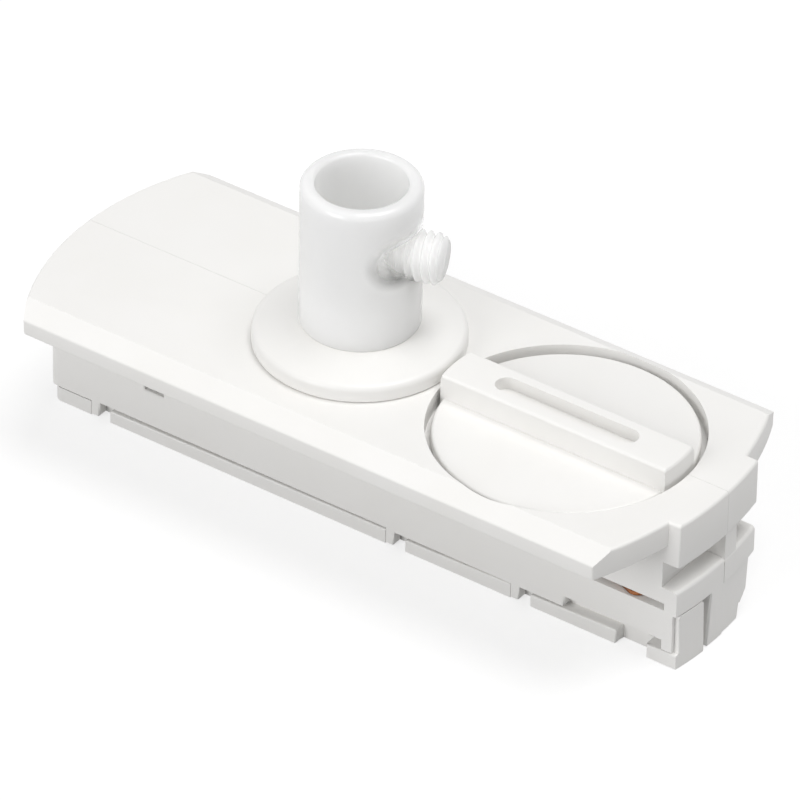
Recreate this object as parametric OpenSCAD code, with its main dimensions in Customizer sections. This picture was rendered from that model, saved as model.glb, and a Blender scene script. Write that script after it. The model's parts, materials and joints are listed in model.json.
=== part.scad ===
// Track light adapter: a pendant cord grip on a plug-in housing with a quarter-turn lock.
// Millimetres, +Z up, +X from the cord grip towards the lock knob, origin under the middle.

/* [Cover plate] */
// Length of each straight long edge, corner to corner
plate_len = 78.3; // [77:0.1:92]
// Width across the long edges
plate_w = 36; // [34:0.5:44]
// Thickness of the plate under its flat top
plate_t = 3.5; // [3.3:0.05:4]
// Width of the sloped border along each long edge
bevel_w = 2.45; // [1:0.05:3.5]
// Fall of the sloped border
bevel_drop = 1.25; // [0.3:0.05:1.6]
// How far the arched left end stands out past its corners
end_bulge = 4.9; // [3:0.1:6]
// How far the arched knob end stands out past its corners
knob_bulge = 3.9; // [3:0.1:5]
// Rounding of moulded edges
edge_r = 0.4; // [0.2:0.05:0.6]
// Place of the seam between the two halves, off the middle towards the far side
seam_y = 0.8; // [0.4:0.1:1.2]
// Width of the seam
seam_gap = 0.03; // [0.02:0.01:0.1]
// Diameter of the pegs that line the halves up
peg_d = 1.6; // [1.2:0.1:2]
// Reach of the pegs on either side of the seam
peg_l = 3; // [2:0.1:4]

/* [Housing] */
// Height from the bottom to the flat top
housing_h = 19.8; // [18.6:0.1:22]
// Width across the side walls
body_w = 15.6; // [14:0.1:18]
// Thickness of the side walls
wall_t = 1.4; // [1.2:0.05:1.5]
// Inset of the body from the arched left end
left_inset = 0.05; // [0.05:0.05:0.6]
// Rounding of the two left corners of the body
corner_r = 1.2; // [0.6:0.1:1.3]
// Inset of the end block from the tip of the tab
right_inset = 0.15; // [0.1:0.05:0.6]
// Thickness of the end block along the length
block_l = 5; // [4.8:0.1:5.4]
// Depth of the step over the end block
step_l = 2.7; // [2.2:0.1:2.9]
// Drop from the flat top to the ledge of the end block
ledge_drop = 9.3; // [8.8:0.1:9.8]
// Rounding of the front edge of the ledge
ledge_r = 0.45; // [0.3:0.05:0.8]
// Height of the lip under the far part of the ledge
far_lip_h = 3.4; // [2.8:0.1:4]
// Overhang of that lip past the far wall of the end block
far_lip_out = 1.05; // [0.6:0.05:1.2]
// Step from the lip to the end face below it
far_lip_step = 0.12; // [0.05:0.01:0.2]
// Draft of the far wall under the lip
far_draft = 0.4; // [0.2:0.05:0.5]
// Width of the slope at the far lower corner
heel_w = 1.7; // [1.2:0.1:1.8]
// Height at which that slope starts
heel_h = 3.1; // [2.8:0.1:3.4]
// Fall of that slope
heel_fall = 1.45; // [1.2:0.05:1.6]
// Thickness of the apron that hides the end of the bottom cover
apron_t = 0.8; // [0.6:0.05:0.9]
// Width of the end tab
tab_w = 15.6; // [12:0.1:16]
// Height of the end tab
tab_h = 6; // [5:0.1:6.6]
// How far the tab stands out past the arched end
tab_out = 1.5; // [0.8:0.1:2]
// Width of the rib between the tab and the end block
rib_w = 2.5; // [1.6:0.1:3]
// Diameter of the screw boss in the near half, at the left end
boss_d = 4.6; // [4.2:0.1:5.4]

/* [Bottom cover] */
// Thickness of the cover floor
cover_t = 1.6; // [1.4:0.1:1.8]
// Height of the visible edge strip
strip_h = 1.85; // [1.8:0.05:2]
// Gap along the parting line
part_gap = 0.15; // [0.1:0.01:0.25]
// Inset of the strip at the left end
strip_inset = 0.6; // [0.3:0.05:1]
// Height of the locating lip inside the walls
lip_h = 4; // [3:0.1:4.5]
// Thickness of the locating lip
lip_t = 0.8; // [0.6:0.1:1]
// Width of each wall tongue in the strip
tongue_w = 1.15; // [0.8:0.05:1.6]
// Width of the open notch beside each tongue
notch_w = 1.45; // [0.8:0.05:2]
// Fall of each strip towards its free end at the notch
strip_fall = 0.3; // [0.1:0.05:0.5]
// Places of the wall tongues, measured back from the knob axis
tongue_back = [60.5, 18.9, 1.7]; // [0:0.1:62]
// Width of the foot panel on the end face
foot_w = 4.7; // [4:0.1:5]
// Height of the foot panel
foot_h = 7; // [5:0.1:7.2]
// Thickness of the foot panel
foot_t = 2; // [1.6:0.1:2.2]
// Length of the foot along the side
foot_l = 4.5; // [3.5:0.1:4.8]
// Width of the open groove beside the top of the foot panel
groove_w = 1.5; // [1.2:0.1:1.8]
// Width of that groove at the bottom
groove_low = 0.65; // [0.4:0.05:0.9]
// Thickness of the wall skin that covers the side of the foot panel
skin_t = 0.5; // [0.4:0.05:0.6]
// Distance from the end face back to the end of that skin
skin_back = 0.45; // [0.3:0.05:0.6]
// Lean of the foot panel, outwards to its toe
toe_out = 0.2; // [0.1:0.05:0.2]
// Open length of strip in front of the foot
strip_gap = 4; // [2:0.1:5]

/* [Slits] */
// Drop from the flat top to the contact slits
slit_drop = 11.95; // [11.6:0.05:12.3]
// Height of the contact slits
slit_h = 0.8; // [0.8:0.05:1]
// Reach of a contact slit ahead of the knob axis
slit_ahead = 18.85; // [18.4:0.05:19.2]
// Reach of a contact slit behind the knob axis
slit_behind = 8; // [7.6:0.1:10]
// Length of the low slot at the knob end
low_slot_l = 13.1; // [8:0.1:15]
// Height of the low slot
low_slot_h = 1.3; // [0.8:0.05:1.6]
// Distance from the end face back to the low slot
low_slot_back = 2.5; // [2.3:0.1:3]
// Length of the small window near the left end
window_l = 2.7; // [2:0.1:4]
// Height of the small window
window_h = 1.4; // [1:0.1:1.6]
// Drop from the flat top to the middle of the small window
window_drop = 12.45; // [12:0.05:13]
// Place of the small window, measured back from the knob axis
window_back = 53; // [48:0.1:56]

/* [Lock knob] */
// Distance from the right-hand plate corners back to the knob axis
knob_inset = 15.9; // [15.6:0.1:17]
// Diameter of the round recess
recess_d = 31.8; // [30:0.1:32.2]
// Depth of the round recess
recess_depth = 2.35; // [2.3:0.05:2.5]
// Side gap between knob and recess
knob_gap = 0.75; // [0.4:0.05:1]
// How far the knob disc lies below the flat top
knob_sink = 0.6; // [0.4:0.05:0.65]
// Thickness of the knob disc
disc_t = 1.45; // [1.3:0.05:1.5]
// Side gap between the ends of the finger bar and the recess
bar_gap = 0.45; // [0.35:0.05:0.7]
// Width of the finger bar
bar_w = 5.8; // [5:0.1:8]
// Height of the finger bar
bar_h = 3.05; // [2.4:0.05:4]
// Length of the coin slot
coin_l = 19; // [14:0.5:24]
// Width of the coin slot
coin_w = 2.7; // [1.6:0.1:3.2]
// Depth of the coin slot
coin_d = 1.6; // [1:0.1:2.2]
// Diameter of the spindle
spindle_d = 8; // [7.8:0.1:8.4]
// Width across the square drive
drive_w = 4.7; // [4.5:0.1:4.8]
// Length of the spindle bush under the plate
bush_l = 1.95; // [1.8:0.05:2]
// Diameter of the spindle bush
bush_d = 11.4; // [10.6:0.2:12]
// Thickness of the slip washer under the knob
slip_t = 0.25; // [0.2:0.01:0.28]
// Outer diameter of the slip washer
slip_d = 20; // [16:0.5:26]

/* [Lock and contacts] */
// Length of the locking wing
wing_l = 27; // [24:0.5:27]
// Width of the locking wing
wing_w = 7.6; // [7:0.1:9]
// Thickness of the locking wing
wing_t = 2.4; // [2:0.1:2.5]
// Diameter of the contact rotor
rotor_d = 12; // [11.6:0.1:12.2]
// Height of the contact rotor
rotor_h = 4.8; // [4.4:0.1:5.2]
// Reach of a contact arm, axis to the centre of its round tip
arm_r = 15.6; // [15:0.1:15.7]
// Width of a contact arm
arm_w = 2.8; // [2.4:0.1:3]
// Thickness of a contact arm
arm_t = 0.5; // [0.4:0.05:0.5]
// Depth of the resting arm tip inside the wall face
tip_inset = 0.2; // [0.1:0.05:0.5]
// Radius at which the contact pads lie under the rotor
pad_r = 4.6; // [4.5:0.05:4.7]
// Diameter of a contact pad
pad_d = 2.2; // [1.8:0.1:2.4]
// Air gap between a pad and its wiper button
pad_gap = 0.2; // [0.15:0.05:0.3]
// Thickness of a wiper strip
wiper_t = 0.5; // [0.4:0.05:0.6]
// Width of a wiper strip
wiper_w = 1.7; // [1.4:0.1:1.8]
// Height of the cover ribs under the wiper strips
wiper_rib_h = 1.4; // [1.1:0.1:1.5]
// Length of a cover rib along the strips
wiper_rib_l = 3; // [2:0.1:4]

/* [Screws] */
// Diameter of the rotor screw
rotor_screw_d = 3; // [2.5:0.1:3.2]
// Length of the rotor screw under its head
rotor_screw_l = 7; // [6:0.2:8]
// Head diameter of the rotor screw
rotor_head_d = 5.6; // [5:0.1:5.8]
// Head height of the rotor screw
rotor_head_h = 1.8; // [1.4:0.1:2]
// Clear height between the cover floor and the head of the rotor screw
head_gap = 0.9; // [0.6:0.1:1.2]
// Thickness of the rotor washer
rotor_washer_t = 0.5; // [0.4:0.05:0.6]
// Outer diameter of the rotor washer
rotor_washer_d = 6.4; // [6:0.1:6.6]
// Diameter of the cover screws
cover_screw_d = 2; // [1.8:0.1:2.2]
// Length of the cover screws under the head
cover_screw_l = 6.5; // [5:0.1:7]
// Head diameter of the cover screws
cover_head_d = 3.6; // [3.4:0.1:3.8]
// Head height of the cover screws
cover_head_h = 0.8; // [0.7:0.05:0.9]
// How far the heads lie inside the cover
head_sink = 0.2; // [0.1:0.05:0.3]
// Wall between the apron and the head of the block screw
head_wall = 0.5; // [0.4:0.05:0.6]
// Wall between the seam and the block screw
seam_wall = 0.3; // [0.25:0.05:0.4]
// Diameter of the terminal screws
term_screw_d = 2.5; // [2:0.1:2.6]
// Head diameter of the terminal screws
term_head_d = 3.4; // [3.2:0.1:3.8]
// Head height of the terminal screws
term_head_h = 1.2; // [1:0.1:1.4]
// Width of every screwdriver slot
driver_w = 0.6; // [0.4:0.05:0.7]

/* [Terminal block] */
// Length of the terminal block
term_l = 14; // [12:0.5:14.5]
// Width of the terminal block
term_w = 11.8; // [11.4:0.1:12.2]
// Height of the terminal block
term_h = 8; // [7.6:0.1:8.4]
// Distance from the cord grip axis back to the near end of the block
term_back = 13; // [12:0.1:13.5]
// Length of a clamp cage
cage_l = 7; // [6:0.1:8]
// Width of a clamp cage
cage_w = 4.2; // [4:0.1:4.4]
// Height of a clamp cage
cage_h = 5; // [4.6:0.1:5.4]
// Wall of a clamp cage
cage_t = 0.8; // [0.6:0.05:1]
// Spacing of the two terminals
term_pitch = 5.8; // [5.6:0.1:6]

/* [Cord grip] */
// Distance from the cord grip axis to the knob axis
grip_pitch = 28.35; // [28.3:0.05:31]
// Diameter of the flange collar
collar_d = 24.6; // [20:0.1:24.8]
// Height of the flange collar
collar_h = 2.2; // [1.6:0.1:3]
// Rounding of the collar rim
collar_r = 0.8; // [0.6:0.1:1.2]
// Rise of the collar top from its rim to the tube
collar_rise = 0.9; // [0.5:0.05:1.2]
// Outer diameter of the grip tube
tube_d = 14; // [12.6:0.1:16]
// Height of the grip tube above the collar
tube_h = 19.6; // [16:0.1:24]
// Bore for the cord
bore_d = 7; // [6:0.1:7.2]
// Diameter of the open mouth
mouth_d = 10.6; // [9.6:0.1:11]
// Depth of the straight part of the mouth
mouth_l = 13; // [11.5:0.1:14]
// Rounding of the tube rim
rim_r = 0.9; // [0.5:0.05:1]
// Diameter of the threaded stub under the tube
stub_d = 9; // [8.8:0.1:9.4]
// Clearance of the stub in the plate and collar
stub_gap = 0.1; // [0.05:0.01:0.2]
// Width across the flats of the nut
nut_af = 12; // [11.6:0.1:12.2]
// Height of the nut
nut_h = 3; // [2.4:0.1:3.2]
// Thickness of the toothed washer
tooth_t = 0.6; // [0.5:0.05:0.7]
// Diameter over the washer teeth
tooth_d = 12.2; // [11.6:0.1:12.4]
// Number of washer teeth
tooth_n = 10; // [6:1:14]

/* [Clamp screw] */
// Diameter of the clamp screw
clamp_d = 6; // [4.8:0.1:6.4]
// Drop of the clamp screw axis below the tube rim
clamp_drop = 8.5; // [7.8:0.1:10]
// Angle of the clamp screw, from +X towards +Y
clamp_angle = 17; // [0:1:45]
// Distance from the tube axis to the outer end of the screw
clamp_reach = 9.9; // [8.5:0.1:11]
// Rounding of the screw ends
clamp_r = 0.4; // [0.2:0.05:0.6]

/* [Hidden] */
$fn = 96;
// Play between pieces that are fixed to each other
fit = 0.05;
// Running clearance on the spindle
run_fit = 0.05;
// Clear space between pieces that move past each other
clear = 0.3;
// Overlap that lets a cut break through a face
eps = 0.5;
// Segments in a quarter of a small rounding
arc_n = 5;

// Places along the length
total_l = end_bulge + plate_len + knob_bulge + tab_out;
left_tip = -total_l / 2;
right_tip = total_l / 2;
corner_x1 = right_tip - tab_out - knob_bulge;
left_r = (pow(plate_w / 2, 2) + pow(end_bulge, 2)) / (2 * end_bulge);
right_r = (pow(plate_w / 2, 2) + pow(knob_bulge, 2)) / (2 * knob_bulge);
left_arc_x = left_tip + left_r;
right_arc_x = right_tip - tab_out - right_r;
block_r = right_r + tab_out - right_inset;
knob_x = corner_x1 - knob_inset;
grip_x = knob_x - grip_pitch;
body_x1 = right_tip - right_inset;
block_x0 = body_x1 - block_l;
upper_x1 = body_x1 - step_l;
cavity_w = body_w - 2 * wall_t;
boss_x = left_tip + left_inset + wall_t + boss_d / 2 - eps;
block_screw_x = body_x1 - apron_t - part_gap - head_wall - cover_head_d / 2;
// Where the near wall meets the arched end face
face_x = right_arc_x + sqrt(pow(block_r, 2) - pow(body_w / 2, 2));
// Centres of the cover screws, one in each half
screw_places = [[boss_x, -boss_d / 2], [block_screw_x, seam_y + seam_wall + cover_screw_d / 2]];

// Heights
plate_z0 = housing_h - plate_t;
recess_z = housing_h - recess_depth;
disc_z1 = housing_h - knob_sink;
disc_z0 = disc_z1 - disc_t;
bush_z0 = plate_z0 - bush_l;
wing_z1 = bush_z0 - clear;
wing_z0 = wing_z1 - wing_t;
rotor_z0 = cover_t + head_gap + rotor_head_h + rotor_washer_t;
slit_z = housing_h - slit_drop;
ledge_z = housing_h - ledge_drop;
wall_z0 = strip_h + part_gap;
far_lip_z = ledge_z - far_lip_h;
wiper_z0 = cover_t + wiper_rib_h;
tongue_z0 = part_gap;
nut_z1 = plate_z0 - tooth_t;
term_z0 = plate_z0 - term_h;
cage_z0 = term_z0 + term_head_h + cage_t;
collar_z1 = housing_h + collar_h;
grip_z0 = collar_z1 + collar_rise;
tube_z1 = collar_z1 + tube_h;
clamp_z = tube_z1 - clamp_drop;
screw_boss_z0 = cover_t + fit;
slot_x1 = body_x1 - low_slot_back;
strip_x1 = body_x1 - foot_l - strip_gap;
head_z1 = head_sink + cover_head_h;

// Angle of the resting contact arm below +X, so that its tip stays inside the wall face
arm_rest = asin((body_w / 2 - tip_inset - arm_w / 2) / arm_r);
// Where the pads come to lie after a quarter turn, which is where the wipers meet them
button_x = pad_r * sin(arm_rest);
button_y = pad_r * cos(arm_rest);
// Half length of wall that the turning wing passes through
wing_pass = sqrt(pow(wing_l / 2, 2) - pow(cavity_w / 2, 2)) + 2 * clear;
// Centres of the two terminals along the length
term_x0 = grip_x - term_back - term_l;
cage_x = term_x0 + term_l / 2;
// Where each wiper turns down in front of the terminal block
leg_x = term_x0 + term_l + clear;
// Centres of the alignment pegs, in the plate and in the end block
peg_places = [[(left_tip + term_x0) / 2, plate_z0 + plate_t / 2],
    [body_x1 - block_l / 2, ledge_z - peg_d]];

// Colours
white_shell = "#f1f0ee";
white_knob = "#f3f2f0";
natural_nylon = "#f0f0ee";
copper = "#b8713f";
brass = "#c9a55a";
zinc = "#c4c7ca";
grey_block = "#d9d8d2";

// Points of a circular arc, for roundings in a profile
function arc(cx, cy, r, a0, a1) =
    [for (i = [0:arc_n])
        let (a = a0 + (a1 - a0) * i / arc_n)
            [cx + r * cos(a), cy + r * sin(a)]];

// Half profile of a round plate with both rims rounded
function round_plate(r, z0, z1, rr) =
    concat([[0, z0]], arc(r - rr, z0 + rr, rr, -90, 0), arc(r - rr, z1 - rr, rr, 0, 90), [[0, z1]]);

// Rectangle with rounded corners, lower left corner first
function round_rect(x0, y0, x1, y1, r) =
    concat(arc(x0 + r, y0 + r, r, 180, 270), arc(x1 - r, y0 + r, r, 270, 360),
        arc(x1 - r, y1 - r, r, 0, 90), arc(x0 + r, y1 - r, r, 90, 180));

// Rectangle with only its upper corners rounded
function arch_rect(x0, y0, x1, y1, r) =
    concat([[x0, y0], [x1, y0]], arc(x1 - r, y1 - r, r, 0, 90), arc(x0 + r, y1 - r, r, 90, 180));

// Profile in the YZ plane carried along X from x0 to x1
module along_x(x0, x1) {
    translate([x0, 0, 0])
        rotate([90, 0, 90])
            linear_extrude(x1 - x0)
                children();
}

// Profile in the XZ plane carried along Y from y0 to y1
module along_y(y0, y1) {
    translate([0, y1, 0])
        rotate([90, 0, 0])
            linear_extrude(y1 - y0)
                children();
}

// Solid of revolution about a vertical axis at x
module turned(x, points) {
    translate([x, 0, 0])
        rotate_extrude()
            polygon(points);
}

// Copies the near-side child to the far side
module both_sides() {
    children();
    mirror([0, 1, 0])
        children();
}

// Turns its child about the knob axis
module about_knob(angle) {
    translate([knob_x, 0, 0])
        rotate([0, 0, angle])
            children();
}

// Turns its child about the cord grip axis so that +X becomes the clamp screw axis
module clamp_axis() {
    translate([grip_x, 0, clamp_z])
        rotate([0, 0, clamp_angle])
            rotate([0, 90, 0])
                children();
}

// Plate disc for one arched end, with a block that leaves the rest of the length free
module plate_end(arc_x, r, x0, x1) {
    turned(arc_x, round_plate(r, plate_z0, housing_h, edge_r));
    translate([x0, -plate_w, plate_z0 - eps])
        cube([x1 - x0, 2 * plate_w, plate_t + 2 * eps]);
}

// Plate with sloped long borders and arched ends
module plate() {
    half = plate_w / 2;
    side = concat(arc(half - edge_r, plate_z0 + edge_r, edge_r, -90, 0),
        arc(half - edge_r, housing_h - bevel_drop - edge_r, edge_r, 0, 75), [[half - bevel_w, housing_h]]);
    mirrored = [for (i = [len(side) - 1:-1:0]) [-side[i][0], side[i][1]]];
    intersection() {
        along_x(left_tip, right_tip)
            polygon(concat(side, mirrored));
        plate_end(left_arc_x, left_r, left_arc_x, right_tip);
        plate_end(right_arc_x, right_r, left_tip, right_arc_x);
    }
}

// Tab at the knob end, on the same centre as the arched end
module tab() {
    intersection() {
        turned(right_arc_x, round_plate(right_r + tab_out, housing_h - tab_h, housing_h, edge_r));
        along_x(upper_x1 - wall_t, right_tip)
            polygon(round_rect(-tab_w / 2, housing_h - tab_h, tab_w / 2, housing_h, edge_r));
    }
}

// Everything right of the arched left end of radius r
module left_round(r, z0, z1) {
    translate([left_arc_x, 0, z0])
        cylinder(r = r, h = z1 - z0, $fn = 360);
    translate([left_arc_x, -r, z0])
        cube([right_tip - left_arc_x, 2 * r, z1 - z0]);
}

// Everything left of the arched end face of the end block, drawn in by inset
module right_round(z0, z1, inset) {
    translate([right_arc_x, 0, z0])
        cylinder(r = block_r - inset, h = z1 - z0, $fn = 360);
    translate([left_tip, -block_r, z0])
        cube([right_arc_x - left_tip, 2 * block_r, z1 - z0]);
}

// Outline of the lower body up to x1, from z0 to z1, drawn in by inset and further at its left end
module body_block(x1, z0, z1, inset, end_inset = 0) {
    intersection() {
        translate([left_tip, -body_w / 2 + inset, z0])
            cube([x1 - left_tip, body_w - 2 * inset, z1 - z0]);
        left_round(left_r - left_inset - inset - end_inset, z0 - eps, z1 + eps);
    }
}

// Plan of the body with its two left corners rounded, drawn in by end_inset
module left_corners(z0, z1, end_inset = 0) {
    straight = body_w / 2 - corner_r;
    x = left_tip + left_inset + end_inset + pow(straight, 2) / (2 * left_r) + corner_r;
    for (y = [-straight, straight])
        translate([x, y, z0])
            cylinder(r = corner_r, h = z1 - z0);
    translate([left_tip, -straight, z0])
        cube([x - left_tip, 2 * straight, z1 - z0]);
    translate([x, -body_w / 2, z0])
        cube([right_tip - x, body_w, z1 - z0]);
}

// Block at the knob end, with an arched face, a rounded ledge and an apron in front of the cover
module end_block() {
    apron_r = block_r - apron_t;
    intersection() {
        turned(right_arc_x, concat([[0, wall_z0], [apron_r, wall_z0], [apron_r, fit], [block_r, fit]],
            arc(block_r - ledge_r, ledge_z - ledge_r, ledge_r, 0, 90), [[0, ledge_z]]));
        translate([block_x0 - eps, -body_w / 2, 0])
            cube([block_l + 2 * eps, body_w, ledge_z + eps]);
    }
}

// Cut under the lip at the far side of the end block, with a slope at its foot
module far_heel() {
    top = body_w / 2 - far_lip_out;
    knee = top - far_draft;
    toe = knee - heel_w;
    along_x(block_x0, right_tip)
        polygon([[toe - far_draft, -eps], [body_w, -eps], [body_w, far_lip_z], [top, far_lip_z],
            [knee, heel_h], [toe, heel_h - heel_fall]]);
}

// Slight setback of the far end face below the lip of the ledge
module far_face() {
    difference() {
        translate([block_x0, seam_y, -eps])
            cube([block_l + eps, body_w, far_lip_z + eps]);
        right_round(-2 * eps, housing_h, far_lip_step);
    }
}

// Rib of the far half that joins the tab to the end block
module rib() {
    intersection() {
        translate([upper_x1 - wall_t, seam_y, ledge_z - ledge_r - eps])
            cube([step_l + wall_t, rib_w, housing_h - tab_h - ledge_z + ledge_r + 2 * eps]);
        translate([right_arc_x, 0, 0])
            cylinder(r = block_r - fit, h = housing_h, $fn = 360);
    }
}

// Box cut through one side wall, near side
module wall_cut(x0, x1, z0, z1) {
    translate([x0, -body_w / 2 - eps, z0])
        cube([x1 - x0, wall_t + 2 * eps, z1 - z0]);
}

// Room inside the walls
module cavity() {
    body_block(block_x0, -eps, plate_z0, wall_t);
}

// Room for the inner pieces wherever the walls would crowd them
module pockets() {
    translate([knob_x, 0, wall_z0])
        cylinder(d = rotor_d + 2 * clear, h = wing_z0 - wall_z0);
    translate([term_x0 - clear, -term_w / 2 - clear, wall_z0])
        cube([term_l + 2 * clear, term_w + 2 * clear, plate_z0 - wall_z0]);
    translate([grip_x - nut_af, -nut_af / 2 - clear, wall_z0])
        cube([2 * nut_af, nut_af + 2 * clear, plate_z0 - wall_z0]);
}

// Tongues that reach down from the walls into the notches of the bottom cover
module tongues() {
    both_sides()
        for (back = tongue_back)
            translate([knob_x - back, -body_w / 2, tongue_z0])
                cube([tongue_w, wall_t, wall_z0 - tongue_z0 + eps]);
}

// Slits for the two contact arms, on opposite sides of the knob axis
module contact_slits() {
    for (turn = [0, 180])
        about_knob(turn)
            translate([-slit_behind, -body_w / 2 - eps, slit_z - slit_h / 2])
                cube([slit_behind + slit_ahead, wall_t + 2 * eps, slit_h]);
}

// Windows for the locking wing
module wing_windows() {
    both_sides()
        wall_cut(knob_x - wing_pass, knob_x + wing_pass, wing_z0 - clear, bush_z0);
}

// Open groove beside the foot panel, narrower at the bottom
module foot_groove() {
    side = -body_w / 2 + foot_w;
    top = foot_h + part_gap;
    along_x(body_x1 - foot_t - part_gap, right_tip + eps)
        polygon([[side - fit, -eps], [side + groove_low, -eps], [side + groove_w, top], [side - fit, top]]);
}

// Seat of the foot panel in the end face, behind a skin of the near wall, with the groove beside it
module foot_seat() {
    top = foot_h + part_gap;
    translate([body_x1 - foot_t - part_gap, -body_w / 2 + skin_t, -eps])
        cube([foot_t + part_gap + eps, foot_w - skin_t, top + eps]);
    translate([face_x - skin_back, -body_w / 2 - eps, -eps])
        cube([right_tip - face_x + skin_back, skin_t + 2 * eps, top + eps]);
    translate([block_x0, -body_w / 2 - eps, -eps])
        cube([block_l + eps, foot_w + eps, wall_z0 + eps]);
    foot_groove();
}

// Bores and recess for the knob, and the hole for the grip stub
module top_bores() {
    translate([knob_x, 0, recess_z])
        cylinder(d = recess_d, h = recess_depth + eps);
    translate([knob_x, 0, bush_z0 - eps])
        cylinder(d = spindle_d + 2 * run_fit, h = housing_h - bush_z0 + eps);
    translate([grip_x, 0, plate_z0 - eps])
        cylinder(d = stub_d + 2 * stub_gap, h = plate_t + 2 * eps);
}

// Pilot holes for the cover screws
module cover_pilots() {
    for (place = screw_places)
        translate([place[0], place[1], 0])
            cylinder(d = cover_screw_d + 2 * fit, h = head_z1 + cover_screw_l + eps);
}

// Pegs across the seam, grown by the given play
module pegs(play) {
    for (place = peg_places)
        translate([place[0], seam_y - peg_l, place[1]])
            rotate([-90, 0, 0])
                cylinder(d = peg_d + 2 * play, h = 2 * peg_l + play);
}

module housing_shell() {
    difference() {
        union() {
            plate();
            tab();
            intersection() {
                body_block(upper_x1, wall_z0, plate_z0 + eps, 0);
                left_corners(0, housing_h);
            }
            end_block();
            tongues();
        }
        cavity();
        pockets();
    }
    rib();
    translate([boss_x, -boss_d / 2, screw_boss_z0])
        cylinder(d = boss_d, h = plate_z0 - screw_boss_z0 + eps);
    translate([knob_x, 0, bush_z0])
        cylinder(d = bush_d, h = bush_l + eps);
}

// Both halves of the housing in one, with every opening
module housing_body() {
    difference() {
        housing_shell();
        contact_slits();
        wing_windows();
        foot_seat();
        far_heel();
        top_bores();
        cover_pilots();
        wall_cut(slot_x1 - low_slot_l, slot_x1, wall_z0 - eps, wall_z0 + low_slot_h);
        wall_cut(knob_x - window_back, knob_x - window_back + window_l,
            housing_h - window_drop - window_h / 2, housing_h - window_drop + window_h / 2);
    }
}

// Near half: everything on the near side of the seam, with the pegs
module housing_near() {
    color(white_shell) {
        intersection() {
            housing_body();
            translate([left_tip, -plate_w, -eps])
                cube([total_l, plate_w + seam_y - seam_gap / 2, housing_h + 2 * eps]);
        }
        pegs(0);
    }
}

// Far half: everything on the far side of the seam, with holes for the pegs
module housing_far() {
    color(white_shell)
        difference() {
            housing_body();
            translate([left_tip - eps, -plate_w, -eps])
                cube([total_l + 2 * eps, plate_w + seam_y + seam_gap / 2, housing_h + 2 * eps]);
            pegs(fit);
            far_face();
        }
}

// Strip, floor and locating lip of the cover, before its notches are cut
module cover_tray() {
    lip_x1 = block_x0 - part_gap;
    intersection() {
        body_block(right_tip, 0, strip_h, 0, strip_inset);
        left_corners(-eps, strip_h + eps, strip_inset);
        right_round(-eps, strip_h + eps, apron_t + part_gap);
    }
    difference() {
        body_block(lip_x1, 0, lip_h, wall_t + part_gap);
        body_block(lip_x1 - lip_t, cover_t, lip_h + eps, wall_t + part_gap + lip_t);
    }
}

// Notches beside the wall tongues, and the fall of each strip towards its notch
module strip_cuts() {
    ends = concat([for (back = tongue_back) knob_x - back], [strip_x1]);
    for (i = [0:len(tongue_back) - 1]) {
        notch_x1 = ends[i] + tongue_w + notch_w;
        translate([ends[i] - fit, -body_w / 2 - eps, -eps])
            cube([tongue_w + notch_w + fit, wall_t + part_gap + eps, strip_h + 2 * eps]);
        along_y(-body_w / 2 - eps, -body_w / 2 + wall_t + part_gap)
            polygon([[notch_x1 - fit, strip_h - strip_fall], [ends[i + 1], strip_h],
                [ends[i + 1], strip_h + eps], [notch_x1 - fit, strip_h + eps]]);
    }
}

// Everything that is cut from the cover
module cover_cuts() {
    both_sides()
        strip_cuts();
    translate([strip_x1, -body_w / 2 - eps, -eps])
        cube([strip_gap, wall_t + part_gap + eps, strip_h + 2 * eps]);
    for (side = [-1, 1])
        translate([leg_x - clear, side * button_y - wiper_w / 2 - clear, cover_t])
            cube([knob_x + button_x + pad_d - leg_x, wiper_w + 2 * clear, lip_h]);
    far_heel();
    foot_groove();
    translate([boss_x, -boss_d / 2, cover_t])
        cylinder(d = boss_d + 2 * part_gap, h = lip_h);
    for (place = screw_places)
        translate([place[0], place[1], 0]) {
            translate([0, 0, -eps])
                cylinder(d = cover_head_d + 2 * fit, h = head_z1 + eps);
            cylinder(d = cover_screw_d + 2 * fit, h = strip_h + eps);
        }
}

// Cone that gives the foot panel its lean and the toe its arched front
module foot_lean() {
    beyond = toe_out * eps / foot_h;
    translate([right_arc_x, 0, -eps])
        cylinder(r1 = block_r + toe_out + beyond, r2 = block_r - beyond, h = foot_h + 2 * eps, $fn = 360);
}

module bottom_cover() {
    color(white_shell) {
        difference() {
            cover_tray();
            cover_cuts();
        }
        intersection() {
            union() {
                along_x(body_x1 - foot_t, right_tip)
                    polygon(arch_rect(-body_w / 2 + skin_t + fit, 0, -body_w / 2 + foot_w, foot_h, edge_r));
                linear_extrude(strip_h)
                    polygon(round_rect(body_x1 - foot_l, -body_w / 2, right_tip + eps, -body_w / 2 + foot_w,
                        edge_r));
            }
            foot_lean();
        }
        for (x = [grip_x - nut_af / 2, grip_x + nut_af])
            translate([x, -button_y - wiper_w / 2, cover_t - fit])
                cube([wiper_rib_l, 2 * button_y + wiper_w, wiper_rib_h + fit]);
    }
}

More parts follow.
